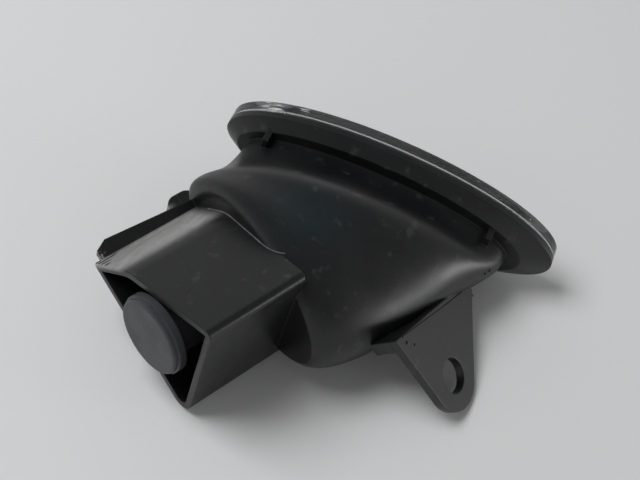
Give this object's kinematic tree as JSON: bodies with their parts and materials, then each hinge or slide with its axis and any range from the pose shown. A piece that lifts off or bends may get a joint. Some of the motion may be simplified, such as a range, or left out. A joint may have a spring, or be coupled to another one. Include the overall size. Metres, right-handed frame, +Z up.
{
  "type": "vehicle indicator lamp",
  "caption": "Oval vehicle indicator lamp: clear lens on a dished flange, leaning bulb chamber, plug shroud with grey bulb holder, and a screw tab.",
  "frame": {"origin": "centre of the flange's front face, where the lens stands", "axes": "+X along the lens, towards the side that the shroud leans to; +Y backwards from the lens; +Z up"},
  "size_m": [0.0795, 0.0618, 0.028],
  "materials": {
    "black_moulding": "moulded black plastic with a soft sheen",
    "clear_lens": "clear moulded plastic, scratched at the edge",
    "bright_coating": "vacuum-coated bright plastic",
    "grey_moulding": "slate-grey moulded plastic",
    "seal_rubber": "soft black rubber",
    "amber_glass": "amber glass",
    "contact_brass": "stamped brass strip"
  },
  "bodies": {
    "root": {"housing": "black_moulding", "lens": "clear_lens", "reflector": "bright_coating", "bulb_holder": "grey_moulding", "holder_seal": "seal_rubber", "bulb": "amber_glass", "contact_near": "contact_brass", "contact_far": "contact_brass"}
  },
  "joints": []
}
